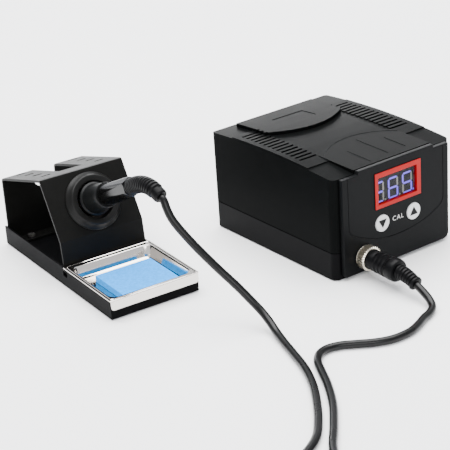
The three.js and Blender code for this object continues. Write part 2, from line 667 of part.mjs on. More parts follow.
// ---- cord: iron boot to plug, its spare length in a coil on the bench ----
// Points are in the power unit's frame, chosen by hand along the cord's fall and lie.
const IRON_STRAND = [
  [-128.5, 50.6, 99.8], [-128.4, 48.6, 98], [-128.6, 45.8, 93.2], [-127.6, 40.6, 84.8],
  [-121, 29, 69], [-113.8, 20, 56], [-106.6, 11.4, 44], [-99.8, 0.8, 32.5], [-94.4, -8.8, 22],
  [-91.3, -19, 13.8], [-91.5, -29, 8.4], [-94, -39.5, 5.2], [-99, -56, 3.6], [-104, -72, 3.3],
  [-112, -95, 3.3], [-123.5, -118, 3.3], [-139, -141, 3.3], [-154, -160, 3.3], [-167, -173.5, 3.3],
  [-182, -183, 3.3], [-200, -190, 3.3], [-220, -196.2, 3.3], [-240.5, -202.6, 3.3],
];
const PLUG_STRAND = [
  [27.4, -66.4, 12.6], [26.6, -75, 9.6], [24.8, -84.4, 6.2], [21, -91, 4.2], [13.5, -95.6, 3.4],
  [4.8, -98.6, 3.3], [-7, -104, 3.3], [-19, -107.6, 3.3], [-36, -107, 3.3], [-49.5, -101.4, 3.3],
  [-61, -93.6, 3.3], [-71.5, -87, 3.3], [-82, -84.4, 3.3], [-91, -86.8, 3.3], [-99, -94.5, 3.3],
  [-105.5, -106, 3.3], [-115.5, -125, 3.3], [-131, -149, 3.3], [-150, -172, 3.3],
  [-167, -191, 3.6], [-177, -205.5, 5], [-184, -216.5, 7.6], [-190, -226, 9.6], [-197, -236.5, 9.9],
];

function coilSolid(grow = 0) {
  const { inner, outer, top } = COIL;
  const g = ring(inner - grow, outer + grow, grow ? -grow : 0.02, top + grow, 36);
  return g.translate(COIL.x, COIL.y, 0);
}

function strand(points, steps) {
  return cut(swept(points, CORD_R - 0.02, 8, steps), coilSolid(GAP));
}

cords.add(piece('cord_iron_side', strand(IRON_STRAND, 42), ...RUBBER));
cords.add(piece('cord_plug_side', strand(PLUG_STRAND, 38), ...RUBBER));
cords.add(piece('cord_coil', coilSolid(), ...RUBBER));

// ---- placing ----
stand.rotation.z = STAND_TURN;
stand.position.set(...STAND_FROM_UNIT, 0);
const station = new THREE.Group();
station.add(unit, stand, cords);
station.position.set(...UNIT_PLACE);

export default station;
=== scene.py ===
import json
import math

import bmesh
import bpy
from mathutils import Matrix, Vector, noise
from mathutils.bvhtree import BVHTree


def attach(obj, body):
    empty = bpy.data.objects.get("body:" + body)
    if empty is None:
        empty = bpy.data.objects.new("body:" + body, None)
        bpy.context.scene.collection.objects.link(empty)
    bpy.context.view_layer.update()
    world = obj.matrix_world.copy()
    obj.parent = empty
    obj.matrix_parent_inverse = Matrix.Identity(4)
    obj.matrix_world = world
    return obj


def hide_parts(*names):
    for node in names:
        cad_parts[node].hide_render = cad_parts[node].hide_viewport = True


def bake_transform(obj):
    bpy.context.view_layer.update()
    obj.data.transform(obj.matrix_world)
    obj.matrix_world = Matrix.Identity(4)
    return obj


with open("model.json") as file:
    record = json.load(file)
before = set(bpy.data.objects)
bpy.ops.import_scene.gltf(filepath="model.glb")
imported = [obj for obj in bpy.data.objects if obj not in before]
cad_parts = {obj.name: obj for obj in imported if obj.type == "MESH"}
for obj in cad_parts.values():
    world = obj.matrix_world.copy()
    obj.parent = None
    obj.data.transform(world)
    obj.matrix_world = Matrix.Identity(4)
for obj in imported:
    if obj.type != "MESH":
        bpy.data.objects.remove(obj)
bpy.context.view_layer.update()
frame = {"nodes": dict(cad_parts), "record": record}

# ---- studio ----
# A pale seamless table under large soft lights, seen a little from above and from the
# front left corner with a long lens.
camera_data = bpy.data.cameras.new("camera")
camera_data.lens = 127.87
camera_data.sensor_width = 36
camera_data.clip_end = 30
camera = bpy.data.objects.new("camera", camera_data)
camera.matrix_world = (
    Matrix.Translation((-0.730225, -1.028821, 0.582788))
    @ Matrix.Rotation(math.radians(-35.543), 4, "Z")
    @ Matrix.Rotation(math.radians(90 - 24.126), 4, "X")
    @ Matrix.Rotation(math.radians(-3.971), 4, "Z")
)
bpy.context.scene.collection.objects.link(camera)
bpy.context.scene.camera = camera


def soft_light(name, place, target, width, height, power):
    light = bpy.data.lights.new(name, "AREA")
    light.shape = "RECTANGLE"
    light.size, light.size_y, light.energy = width, height, power
    lamp = bpy.data.objects.new(name, light)
    aim = (Vector(target) - Vector(place)).to_track_quat("-Z", "Y")
    lamp.matrix_world = Matrix.Translation(place) @ aim.to_matrix().to_4x4()
    bpy.context.scene.collection.objects.link(lamp)


soft_light("overhead", (0.1, 0.3, 1.9), (0, 0, 0), 2.4, 2.0, 165)
soft_light("rear_bank", (1.2, 1.7, 0.52), (0.1, 0.1, 0.1), 1.8, 0.5, 24)
soft_light("front_fill", (-1.0, -1.9, 1.3), (0, 0, 0.05), 1.6, 1.0, 34)

world = bpy.data.worlds.new("room")
world.use_nodes = True
world.node_tree.nodes["Background"].inputs["Color"].default_value = (0.93, 0.95, 1, 1)
world.node_tree.nodes["Background"].inputs["Strength"].default_value = 1.15
bpy.context.scene.world = world


def rgb(hex_code):
    """The linear colour of a #rrggbb code."""
    parts = [int(hex_code[i : i + 2], 16) / 255 for i in (1, 3, 5)]
    return [p / 12.92 if p <= 0.04045 else ((p + 0.055) / 1.055) ** 2.4 for p in parts]


def surface(name, colour, roughness, mottle=0.12, patch=40, grain=1500, bump=0.12,
            spread=0.05, **sockets):
    """A finish whose tone, gloss and fine relief all wander a little over the piece."""
    material = bpy.data.materials.new(name)
    material.use_nodes = True
    tree = material.node_tree
    shader = tree.nodes["Principled BSDF"]
    coordinates = tree.nodes.new("ShaderNodeTexCoord")
    patches = tree.nodes.new("ShaderNodeTexNoise")
    patches.inputs["Scale"].default_value = patch
    patches.inputs["Detail"].default_value = 5
    tree.links.new(coordinates.outputs["Object"], patches.inputs["Vector"])
    tones = tree.nodes.new("ShaderNodeValToRGB")
    base = rgb(colour)
    for end, place, factor in ((0, 0.3, 1 - mottle), (1, 0.7, 1 + mottle)):
        tones.color_ramp.elements[end].position = place
        tones.color_ramp.elements[end].color = [min(c * factor, 1) for c in base] + [1]
    tree.links.new(patches.outputs["Fac"], tones.inputs["Fac"])
    tree.links.new(tones.outputs["Color"], shader.inputs["Base Color"])
    gloss = tree.nodes.new("ShaderNodeMapRange")
    gloss.inputs["To Min"].default_value = max(roughness - spread, 0.02)
    gloss.inputs["To Max"].default_value = roughness + spread
    tree.links.new(patches.outputs["Fac"], gloss.inputs["Value"])
    tree.links.new(gloss.outputs["Result"], shader.inputs["Roughness"])
    texture = tree.nodes.new("ShaderNodeTexNoise")
    texture.inputs["Scale"].default_value = grain
    texture.inputs["Detail"].default_value = 2
    tree.links.new(coordinates.outputs["Object"], texture.inputs["Vector"])
    relief = tree.nodes.new("ShaderNodeBump")
    relief.inputs["Strength"].default_value = bump
    relief.inputs["Distance"].default_value = 0.0003
    tree.links.new(texture.outputs["Fac"], relief.inputs["Height"])
    tree.links.new(relief.outputs["Normal"], shader.inputs["Normal"])
    for socket, value in sockets.items():
        shader.inputs[socket.replace("_", " ")].default_value = value
    return material


# The table top: one broad sheet of pale laminate, faintly uneven in tone.
table_mesh = bmesh.new()
bmesh.ops.create_grid(table_mesh, x_segments=2, y_segments=2, size=9)
table_data = bpy.data.meshes.new("table")
table_mesh.to_mesh(table_data)
table_mesh.free()
table = bpy.data.objects.new("table", table_data)
bpy.context.scene.collection.objects.link(table)
table.data.materials.append(surface("pale_table", "#fbfbfb", 0.7, 0.01, 3, 200, 0.02))

# ---- cord ----
# A round rubber-jacketed cord, soldered inside the handle and in the plug. It hangs from
# the boot to the bench, its spare length lies in a tied coil, and it returns to the plug.
# Both strands begin a few millimetres inside the boot and the plug's relief.
UNIT = Matrix.Translation((0.02094, -0.127235, 0))
STAND = Matrix.Translation((-0.15046, -0.054235, 0)) @ Matrix.Rotation(
    math.radians(-4.27), 4, "Z")
CORD_RADIUS = 0.00325
IRON_STRAND = [
    (-0.1288, 0.0545, 0.1017), (-0.1286, 0.0518, 0.1005), (-0.1285, 0.0502, 0.0996),
    (-0.1284, 0.0486, 0.098), (-0.1286, 0.0458, 0.0932), (-0.1276, 0.0406, 0.0848),
    (-0.121, 0.029, 0.069), (-0.1138, 0.02, 0.056),
    (-0.1066, 0.0114, 0.044), (-0.0998, 0.0008, 0.0325), (-0.0944, -0.0088, 0.022),
    (-0.0913, -0.019, 0.0138), (-0.0915, -0.029, 0.0084), (-0.094, -0.0395, 0.0052),
    (-0.099, -0.056, 0.0036), (-0.104, -0.072, 0.0033), (-0.112, -0.095, 0.0033),
    (-0.1235, -0.118, 0.0033), (-0.139, -0.141, 0.0033), (-0.154, -0.16, 0.0033),
    (-0.167, -0.1735, 0.0033), (-0.182, -0.183, 0.0033), (-0.2, -0.19, 0.0033),
    (-0.22, -0.1962, 0.0033),
]
PLUG_STRAND = [
    (0.0277, -0.0634, 0.0137),
    (0.0274, -0.0664, 0.0126), (0.0266, -0.075, 0.0096), (0.0248, -0.0844, 0.0062),
    (0.021, -0.091, 0.0042), (0.0135, -0.0956, 0.0034), (0.0048, -0.0986, 0.0033),
    (-0.007, -0.104, 0.0033), (-0.019, -0.1076, 0.0033), (-0.036, -0.107, 0.0033),
    (-0.0495, -0.1014, 0.0033), (-0.061, -0.0936, 0.0033), (-0.0715, -0.087, 0.0033),
    (-0.082, -0.0844, 0.0033), (-0.091, -0.0868, 0.0033), (-0.099, -0.0945, 0.0033),
    (-0.1055, -0.106, 0.0033), (-0.1155, -0.125, 0.0033), (-0.131, -0.149, 0.0033),
    (-0.15, -0.172, 0.0033), (-0.167, -0.191, 0.0036), (-0.177, -0.2055, 0.005),
    (-0.184, -0.2165, 0.0076), (-0.19, -0.226, 0.0096), (-0.197, -0.2365, 0.0099),
]
COIL_CENTRE = (-0.228, -0.242)
COIL_EXIT = (-0.2032, -0.2472, 0.0066)
LYING = 0.0033


def coil_turns(turns=2.61, start=107.5, outside=0.0415, pitch=0.0068, per_turn=18):
    """Flat turns that wind inwards on the bench and lift off it at their inner end."""
    count = round(turns * per_turn)
    line = []
    for i in range(count + 1):
        done = turns * i / count
        angle = math.radians(start + 360 * done)
        reach = outside - pitch * done
        lift = max(0, i - count + 3) / 3
        line.append((
            COIL_CENTRE[0] + reach * math.cos(angle),
            COIL_CENTRE[1] + reach * math.sin(angle),
            LYING + 0.0014 * lift * lift,
        ))
    return line


def smooth_line(points, step=0.0022):
    """A centripetal curve through the points, sampled about every step."""
    p = [Vector(q) for q in points]
    p = [2 * p[0] - p[1]] + p + [2 * p[-1] - p[-2]]
    line = [p[1]]
    for a, b, c, d in zip(p, p[1:], p[2:], p[3:]):
        t = [0]
        for u, v in ((a, b), (b, c), (c, d)):
            t.append(t[-1] + math.sqrt((v - u).length))
        count = max(1, round((c - b).length / step))
        for i in range(1, count + 1):
            s = t[1] + (t[2] - t[1]) * i / count
            ab = a.lerp(b, s / t[1])
            bc = b.lerp(c, (s - t[1]) / (t[2] - t[1]))
            cd = c.lerp(d, (s - t[2]) / (t[3] - t[2]))
            abc = ab.lerp(bc, s / t[2])
            bcd = bc.lerp(cd, (s - t[1]) / (t[3] - t[1]))
            line.append(abc.lerp(bcd, (s - t[1]) / (t[2] - t[1])))
    return line


def tube(line, radii, sides=20):
    """A closed round tube along the line, with a radius at each of its points."""
    bm = bmesh.new()
    side = None
    rings = []
    for i, (centre, radius) in enumerate(zip(line, radii)):
        ahead = (line[min(i + 1, len(line) - 1)] - line[max(i - 1, 0)]).normalized()
        side = side or ahead.orthogonal()
        side = (side - ahead * side.dot(ahead)).normalized()
        other = ahead.cross(side)
        turn = [2 * math.pi * k / sides for k in range(sides)]
        rings.append([
            bm.verts.new(centre + radius * (math.cos(a) * side + math.sin(a) * other))
            for a in turn])
    for one, two in zip(rings, rings[1:]):
        for k in range(sides):
            bm.faces.new((one[k], one[k - 1], two[k - 1], two[k]))
    bm.faces.new(rings[0])
    bm.faces.new(rings[-1])
    return bm


def add_piece(name, bm, material, body, nodes=(), place=None, sharp=38):
    """Makes the mesh an object of its own on a body, smooth but for its real edges."""
    if place:
        bmesh.ops.transform(bm, matrix=place, verts=bm.verts)
    bmesh.ops.recalc_face_normals(bm, faces=bm.faces)
    for face in bm.faces:
        face.smooth = True
    for edge in bm.edges:
        edge.smooth = edge.calc_face_angle(0) < math.radians(sharp)
    mesh = bpy.data.meshes.new(name)
    bm.to_mesh(mesh)
    bm.free()
    piece = bpy.data.objects.new(name, mesh)
    bpy.context.scene.collection.objects.link(piece)
    mesh.materials.append(material)
    if body:
        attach(piece, body)
    if nodes:
        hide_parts(*nodes)
    return piece


cord_points = IRON_STRAND + coil_turns() + [COIL_EXIT] + PLUG_STRAND[::-1]
cord_line = [UNIT @ p for p in smooth_line(cord_points)]
cord_jacket = surface("cord_jacket", "#060606", 0.28, 0.2, 60, 900, 0.05,
                      Specular_IOR_Level=0.2)
cord = add_piece(
    "iron_cord", tube(cord_line, [CORD_RADIUS] * len(cord_line)), cord_jacket, None,
    ["cord_iron_side", "cord_plug_side", "cord_coil"], sharp=60)
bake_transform(cord)

# The coil's tie: a strap of hook-and-loop tape round all the turns on one side.
TIE_ANGLE, TIE_STEPS, TIE_HALF_WIDTH, TIE_THICK = 3.5, 24, 0.006, 0.0004
TIE_REACH, TIE_SPAN = 0.0335, 0.0125
TIE_HEIGHT, TIE_RISE = 0.0036, 0.0034
tie_line = []
for i in range(TIE_STEPS):
    a = 2 * math.pi * i / TIE_STEPS
    across = TIE_REACH + TIE_SPAN * math.cos(a)
    tie_line.append(Vector((
        COIL_CENTRE[0] + across * math.cos(TIE_ANGLE),
        COIL_CENTRE[1] + across * math.sin(TIE_ANGLE),
        TIE_HEIGHT + TIE_RISE * math.sin(a))))
tie_mesh = bmesh.new()
along = Vector((-math.sin(TIE_ANGLE), math.cos(TIE_ANGLE), 0)) * TIE_HALF_WIDTH
rows = [[tie_mesh.verts.new(p + s * along) for p in tie_line] for s in (-1, 1)]
for k in range(TIE_STEPS):
    tie_mesh.faces.new((rows[0][k], rows[0][k - 1], rows[1][k - 1], rows[1][k]))
bmesh.ops.recalc_face_normals(tie_mesh, faces=tie_mesh.faces)
bmesh.ops.solidify(tie_mesh, geom=tie_mesh.faces, thickness=TIE_THICK)
tie = add_piece(
    "coil_tie", tie_mesh, surface("tie_tape", "#17181a", 0.85, 0.3, 900, 4000, 0.5),
    "station", place=UNIT)

# ---- power unit case ----
# Two injection-moulded ABS shells, satin with a fine spark texture, that meet at a seam and
# are held by four long screws from below. The cover's raised fields carry the vents.
body_of = {n: b for b, ns in frame["record"]["behaviour"]["bodies"].items() for n in ns}


def weigh_normals(mesh, sharp):
    """Shades each corner by the faces around it in proportion to their areas, so that
    flat faces stay flat beside their broken edges. Turns over the sharp angle stay hard."""
    around = [[] for _ in mesh.vertices]
    for face in mesh.polygons:
        for v in face.vertices:
            around[v].append(face)
    same = math.cos(math.radians(sharp))
    corners = []
    for face in mesh.polygons:
        for v in face.vertices:
            total = Vector()
            for near in around[v]:
                if near.normal.dot(face.normal) > same:
                    total += near.normal * near.area
            corners.append(total.normalized() if total.length > 0 else face.normal)
    mesh.normals_split_custom_set(corners)


def from_cad(node, kind, material, edge=0.0004, segments=2, sharp=50):
    """A merged copy of a CAD node with whole flat faces and its edges broken."""
    bm = bmesh.new()
    bm.from_mesh(frame["nodes"][node].data)
    bmesh.ops.remove_doubles(bm, verts=bm.verts, dist=2e-6)
    bmesh.ops.dissolve_limit(
        bm, angle_limit=math.radians(0.6), verts=bm.verts, edges=bm.edges)
    real = [e for e in bm.edges if e.calc_face_angle(0) > math.radians(35)]
    bmesh.ops.bevel(
        bm, geom=real, offset=edge, offset_type="OFFSET", affect="EDGES",
        segments=segments, profile=0.5, material=-1, clamp_overlap=True)
    piece = add_piece(
        node + "_" + kind, bm, material, body_of[node], [node], sharp=180)
    weigh_normals(piece.data, sharp)
    return piece


def dress(material, *nodes):
    """Gives CAD nodes that are shown as they are their finish."""
    for node in nodes:
        frame["nodes"][node].data.materials.clear()
        frame["nodes"][node].data.materials.append(material)


black_abs = surface(
    "black_abs", "#060607", 0.45, 0.12, 25, 1500, 0.1, Specular_IOR_Level=0.035)
charcoal_abs = surface(
    "charcoal_abs", "#080909", 0.35, 0.1, 25, 1500, 0.14, Specular_IOR_Level=0.011)
# Height of the shells' seam and half width of the band of painted shade along it.
SEAM_Z, SEAM_SHADE_HALF = 0.025, 0.00045


def paint_seam_shade(material):
    """Paints shade in the seam: takes the gloss out of a thin band where the two shells meet."""
    tree = material.node_tree
    nodes = tree.nodes
    split = nodes.new("ShaderNodeSeparateXYZ")
    inside = nodes.new("ShaderNodeMath")
    inside.operation = "COMPARE"
    inside.inputs[1].default_value = SEAM_Z
    inside.inputs[2].default_value = SEAM_SHADE_HALF
    level = nodes.new("ShaderNodeMapRange")
    gloss = nodes["Principled BSDF"].inputs["Specular IOR Level"]
    level.inputs["To Min"].default_value = gloss.default_value
    level.inputs["To Max"].default_value = 0
    coordinates = next(n for n in nodes if n.type == "TEX_COORD")
    tree.links.new(coordinates.outputs["Object"], split.inputs[0])
    tree.links.new(split.outputs["Z"], inside.inputs[0])
    tree.links.new(inside.outputs[0], level.inputs["Value"])
    tree.links.new(level.outputs["Result"], gloss)


# Both shells get the painted seam shade, a dark band without gloss at the seam's height.
paint_seam_shade(black_abs)
paint_seam_shade(charcoal_abs)
from_cad("lower_housing", "moulding", black_abs, 0.0005)
from_cad("upper_cover", "moulding", charcoal_abs, 0.00025)
MM = 0.001

# Fine lines moulded into the cover: three on the front field, the shallow arc that ends it,
# and an angle on the rear field. Each follows the height of the cover under it.
cover_mesh = frame["nodes"]["upper_cover"].data
cover_faces = BVHTree.FromPolygons(
    [v.co for v in cover_mesh.vertices], [p.vertices for p in cover_mesh.polygons])
ABOVE_COVER = 0.15
ARC_CENTRE, ARC_RADIUS = (66, 3), 54
ARC = [(ARC_CENTRE[0] + ARC_RADIUS * math.cos(math.radians(a)),
        ARC_CENTRE[1] + ARC_RADIUS * math.sin(math.radians(a))) for a in range(40, 143, 2)]
MOULDED = [
    ([(46, 5), (46, 34)], 0.28), ([(68, 8), (68, 48)], 0.28), ([(88, 9), (88, 35)], 0.28),
    ([(47, 134), (80, 133.5)], 0.4), ([(80, 133.5), (81, 115.6)], 0.4), (ARC, 0.2),
]
lines = bmesh.new()
for ends, thick in MOULDED:
    route = []
    for (x0, y0), (x1, y1) in zip(ends, ends[1:]):
        count = max(1, round(math.hypot(x1 - x0, y1 - y0) / 4))
        for i in range(count + 1):
            x, y = x0 + (x1 - x0) * i / count, y0 + (y1 - y0) * i / count
            above = UNIT @ Vector((x * MM, y * MM, ABOVE_COVER))
            route.append(cover_faces.ray_cast(above, Vector((0, 0, -1)))[0])
    route = [p for i, p in enumerate(route) if i == 0 or (p - route[i - 1]).length > 1e-5]
    stroke = tube(route, [thick * MM] * len(route), 8)
    held = bpy.data.meshes.new("stroke")
    stroke.to_mesh(held)
    stroke.free()
    lines.from_mesh(held)
    bpy.data.meshes.remove(held)
add_piece("cover_lines", lines, black_abs, "station", sharp=60)
zinc_steel = surface(
    "zinc_steel", "#b4b2ad", 0.33, 0.15, 300, 2500, 0.1, Metallic=1)
foot_rubber = surface("foot_rubber", "#141414", 0.85, 0.2, 400, 3000, 0.3)
for number in "1234":
    dress(zinc_steel, "case_screw_" + number, "holder_screw_" + number)
    dress(foot_rubber, "case_foot_" + number, "stand_foot_" + number)

# ---- front panel ----
# A separate black ABS moulding clipped into the case front, with a fine raised line round
# its upper field. The red display frame is pressed into it from the front.
panel_abs = surface(
    "panel_abs", "#0a0b0c", 0.42, 0.1, 30, 1500, 0.12, Specular_IOR_Level=0.05)
from_cad("front_panel", "moulding", panel_abs, 0.0005)
FIELD_LINE = [
    (12.5, 89), (12.5, 66), (12.5, 46), (12.7, 43), (13.8, 40.6), (17, 38.2), (23, 35),
    (40, 28.2), (57.8, 25.1), (75.5, 25.2), (93.8, 28), (108.9, 33.5), (114.3, 36.8),
    (116.9, 40.6), (117.4, 46), (117.4, 66), (117.4, 89),
]
PANEL_FACE = -4.48
field_line = smooth_line([(x * MM, PANEL_FACE * MM, z * MM) for x, z in FIELD_LINE])
add_piece(
    "panel_field_line", tube(field_line, [0.0003] * len(field_line), 8), black_abs,
    "station", place=UNIT, sharp=60)

# Printing: the label between the buttons, white ink.
ink = surface("white_ink", "#d8d8d6", 0.55, 0.06, 900, 4000, 0.05)
label_curve = bpy.data.curves.new("label", "FONT")
label_curve.body = "CAL"
label_curve.size = 0.0058
label_curve.space_character = 1.25
label_curve.align_x = "CENTER"
label_curve.offset = -0.00005
label_curve.extrude = 0.00003
LABEL_PLACE = (0.0657, -0.00453, 0.0378)
label_source = bpy.data.objects.new("label_source", label_curve)
label_bm = bmesh.new()
label_bm.from_mesh(bpy.data.meshes.new_from_object(label_source))
bpy.data.objects.remove(label_source)
add_piece(
    "panel_label", label_bm, ink, "station",
    place=UNIT @ Matrix.Translation(LABEL_PLACE)
    @ Matrix.Rotation(math.radians(90), 4, "X"))

# ---- display ----
# A red snap-in frame over a smoke-tinted acrylic window. Behind it a three-digit LED module
# shows 7-segment figures, lit segments violet and the others the pale grey of their casting with
# a faint painted glow.
red_plastic = surface(
    "red_plastic", "#960200", 0.4, 0.06, 60, 1800, 0.05, Specular_IOR_Level=0.15)
from_cad("display_frame", "bezel", red_plastic, 0.0004)
tinted_window = surface(
    "tinted_window", "#08080c", 0.08, 0.03, 60, 1200, 0, 0.01,
    Alpha=0.3, Specular_IOR_Level=0.3)
from_cad("display_window", "pane", tinted_window, 0.0002)
display_body = surface("display_body", "#17171b", 0.6, 0.1, 200, 2000, 0.08,
                       Specular_IOR_Level=0.1)
dress(display_body, "display_module")
lit_segment = surface(
    "lit_segment", "#6f5fe0", 0.4, 0.08, 500, 2000, 0.02,
    Emission_Color=(*rgb("#7a62ff"), 1), Emission_Strength=2.6)
# The unlit segments glow faintly: painted light that brightens their pale grey.
unlit_segment_painted_glow = surface(
    "unlit_segment_painted_glow", "#b9b9b0", 0.5, 0.05, 500, 2000, 0.02,
    Emission_Color=(*rgb("#b9b9b0"), 1), Emission_Strength=0.25)
DIGIT_W, DIGIT_H, STROKE = 11, 18.7, 1.55
DIGIT_Z = 65.05
DIGIT_BACK, DIGIT_THICK, DOT_DEPTH, DOT_RADIUS = 0.00045, 0.0002, 0.0003, 0.001


def segment(bm, x, z, length, upright):
    """One bar with pointed ends, a fifth of a millimetre thick, on the module's face."""
    half, wide = length / 2, STROKE / 2
    outline = [(-half, 0), (-half + wide, wide), (half - wide, wide), (half, 0),
               (half - wide, -wide), (-half + wide, -wide)]
    corners = []
    for u, v in outline:
        dx, dz = (v, u) if upright else (u, v)
        corners.append(bm.verts.new(((x + dx) * MM, DIGIT_BACK, (z + dz) * MM)))
    face = bm.faces.new(corners)
    made = bmesh.ops.extrude_face_region(bm, geom=[face])["geom"]
    front = [v for v in made if isinstance(v, bmesh.types.BMVert)]
    bmesh.ops.translate(bm, verts=front, vec=(0, -DIGIT_THICK, 0))


def dot(bm, x, z):
    """The round decimal point beside a figure."""
    made = bmesh.ops.create_circle(bm, cap_ends=True, segments=16, radius=DOT_RADIUS)
    turn = Matrix.Translation((x * MM, DOT_DEPTH, z * MM)) @ Matrix.Rotation(
        math.radians(90), 4, "X")
    bmesh.ops.transform(bm, matrix=turn, verts=made["verts"])


across, upward = DIGIT_W / 2 - STROKE / 2, DIGIT_H / 4 - STROKE / 4
PLACES = {
    "a": (0, DIGIT_H / 2 - STROKE / 2, False), "d": (0, -DIGIT_H / 2 + STROKE / 2, False),
    "g": (0, 0, False), "f": (-across, upward, True), "b": (across, upward, True),
    "e": (-across, -upward, True), "c": (across, -upward, True),
}
FIGURES = [(49.7, "agd", False), (65.35, "afgecd", False), (81, "afgcd", True)]
for lit, name, finish in (
        (True, "figures_lit", lit_segment), (False, "figures_unlit", unlit_segment_painted_glow)):
    bm = bmesh.new()
    for x, on, point in FIGURES:
        for key, (dx, dz, upright) in PLACES.items():
            if (key in on) == lit:
                span = (DIGIT_H - STROKE) / 2 - 0.5 if upright else DIGIT_W - STROKE - 0.5
                segment(bm, x + dx, DIGIT_Z + dz, span, upright)
        if point == lit:
            dot(bm, x + 7, DIGIT_Z - DIGIT_H / 2 + 1.2)
    add_piece(name, bm, finish, "station", place=UNIT)
circuit_board = surface("circuit_board", "#1e5b32", 0.35, 0.25, 250, 1200, 0.15)
dress(circuit_board, "display_board", "control_board")
switch_plastic = surface(
    "switch_plastic", "#0d0d0f", 0.36, 0.12, 200, 2000, 0.06, Specular_IOR_Level=0.12)
dress(switch_plastic, "tact_switch_down", "tact_switch_up")

# ---- buttons ----
# Two round caps of white ABS on stems, dished a little, each with an arrow printed in
# dark grey. They stand in plain holes of the panel.


def lathe(profile, steps=64):
    """A turned piece about Z from (radius, height) pairs in millimetres."""
    bm = bmesh.new()
    points = [bm.verts.new((r * MM, 0, t * MM)) for r, t in profile]
    edges = [bm.edges.new(pair) for pair in zip(points, points[1:])]
    bmesh.ops.spin(bm, geom=points + edges, cent=(0, 0, 0), axis=(0, 0, 1),
                   angle=2 * math.pi, steps=steps, use_merge=True)
    bmesh.ops.remove_doubles(bm, verts=bm.verts, dist=2e-6)
    return bm


def out_of_panel(x, z):
    """Places a turned piece with its Z running out of the case front at (x, z)."""
    return UNIT @ Matrix.Translation((x * MM, 0, z * MM)) @ Matrix.Rotation(
        math.radians(90), 4, "X")


white_plastic = surface(
    "white_plastic", "#cfcfcf", 0.42, 0.03, 80, 1800, 0.04, Specular_IOR_Level=0.4)
dark_ink = surface(
    "dark_ink", "#070707", 0.5, 0.1, 900, 4000, 0.05, Specular_IOR_Level=0.1)
CAP = [(0, 4.85), (3, 4.87), (6, 4.98), (6.7, 5.08), (7.1, 4.98), (7.3, 4.7), (7.3, -0.2),
       (8.4, -0.2), (8.4, -1.2), (2, -1.2), (2, -1.5), (0, -1.5)]
BUTTON_Z = 39.6
ARROW_BASE, ARROW_THICK = 0.0048, 0.00024
for node, x, way in (("button_down", 48.4, -1), ("button_up", 83.2, 1)):
    body = body_of[node]
    place = out_of_panel(x, BUTTON_Z)
    add_piece(node + "_cap", lathe(CAP), white_plastic, body, [node], place)
    arrow = bmesh.new()
    corners = [(-4.4, -3.1 * way), (4.4, -3.1 * way), (0, 4.2 * way)]
    outline = [arrow.verts.new((u * MM, v * MM, ARROW_BASE)) for u, v in corners]
    face = arrow.faces.new(outline)
    made = bmesh.ops.extrude_face_region(arrow, geom=[face])["geom"]
    lifted = [v for v in made if isinstance(v, bmesh.types.BMVert)]
    bmesh.ops.translate(arrow, verts=lifted, vec=(0, 0, ARROW_THICK))
    add_piece(node + "_arrow", arrow, dark_ink, body, place=place)

# ---- socket and plug ----
# A nickel-plated round connector: the socket's flange on the panel, a knurled coupling ring
# and a black moulded plug with grip ribs, from which a ribbed strain relief droops.
nickel = surface("nickel", "#e2dac9", 0.3, 0.12, 200, 1500, 0.08, Metallic=1)
soft_black = surface("soft_black", "#040405", 0.4, 0.2, 150, 1500, 0.1, Specular_IOR_Level=0.09)
from_cad("iron_socket", "shell", nickel, 0.0003)
dress(nickel, "socket_nut")
SOCKET = out_of_panel(28, 16.8)


def knurled(teeth=30):
    """A ring with chamfered ends, its rim cut into fine teeth."""
    bm = bmesh.new()
    loops = []
    for radius, t, tooth in ((8.9, 5.9, 0), (9.6, 5.9, 0), (9.7, 6.5, 0.9),
                             (9.7, 13.2, 0.9), (9.5, 14.2, 0), (8.9, 14.2, 0)):
        loop = []
        for k in range(4 * teeth):
            a = math.pi * k / (2 * teeth)
            r = (radius + (tooth if k % 4 in (1, 2) else 0)) * MM
            loop.append(bm.verts.new((r * math.cos(a), r * math.sin(a), t * MM)))
        loops.append(loop)
    for one, two in zip(loops, loops[1:] + loops[:1]):
        for k in range(4 * teeth):
            bm.faces.new((one[k], one[k - 1], two[k - 1], two[k]))
    return bm


ring = add_piece("coupling_ring_knurled", knurled(), nickel, "plug_ring",
                 ["coupling_ring"], SOCKET, 25)
PLUG = [
    (0, -3), (6.2, -3), (6.2, 9.3), (8.4, 9.3), (8.6, 9.6), (8.6, 19.6), (8.2, 20.2),
    (8, 20.7), (8, 22), (8.5, 22.4), (9, 22.7), (9, 24.3), (8.5, 24.7), (8, 25.1),
    (8, 26.5), (8.5, 26.9), (9, 27.2), (9, 28.8), (8.5, 29.2), (8, 29.6), (8, 31),
    (8.6, 31.4), (9.2, 31.7), (9.2, 33.3), (8.7, 33.8), (8.2, 34.2), (8.2, 35.4),
    (8.9, 36), (9.5, 36.8), (9.7, 39), (9.7, 42), (9.4, 44.2), (8.8, 45.3), (7, 46), (0, 46),
]
plug = add_piece("plug_body_moulding", lathe(PLUG), soft_black, "station",
                 ["plug_body"], SOCKET)


def ribbed(route, start, end, bulb, ribs, depth, sides=28):
    """A relief with deep rings cut round it, closed by a plain collar at its free end."""
    rings_end, collar_start, round_start = 0.85, 0.89, 0.95
    line = smooth_line(route, 0.0002)
    radii = []
    for i in range(len(line)):
        s = i / (len(line) - 1)
        wave = math.sin(math.pi * ribs * s / rings_end) ** 2
        radius = start + (end - start) * s
        if s < rings_end:
            radius -= depth * (1 - min(1, 1.9 * wave))
        elif s > collar_start:
            radius = bulb - 0.8 * max(0, (s - round_start) / (1 - round_start)) ** 2
        else:
            radius -= depth
        radii.append(radius * MM)
    return tube(line, radii, sides)


RELIEF_ROUTE = [(28, -46.2, 16.8), (28, -50, 16.7), (28, -55, 16), (27.8, -61, 14.5),
                (27.5, -66.4, 12.7)]
relief_route = [[c * MM for c in p] for p in RELIEF_ROUTE]
relief = add_piece(
    "plug_relief_ribbed", ribbed(relief_route, 6.4, 5.4, 6, 6, 1), soft_black, "station",
    ["plug_relief"], UNIT)

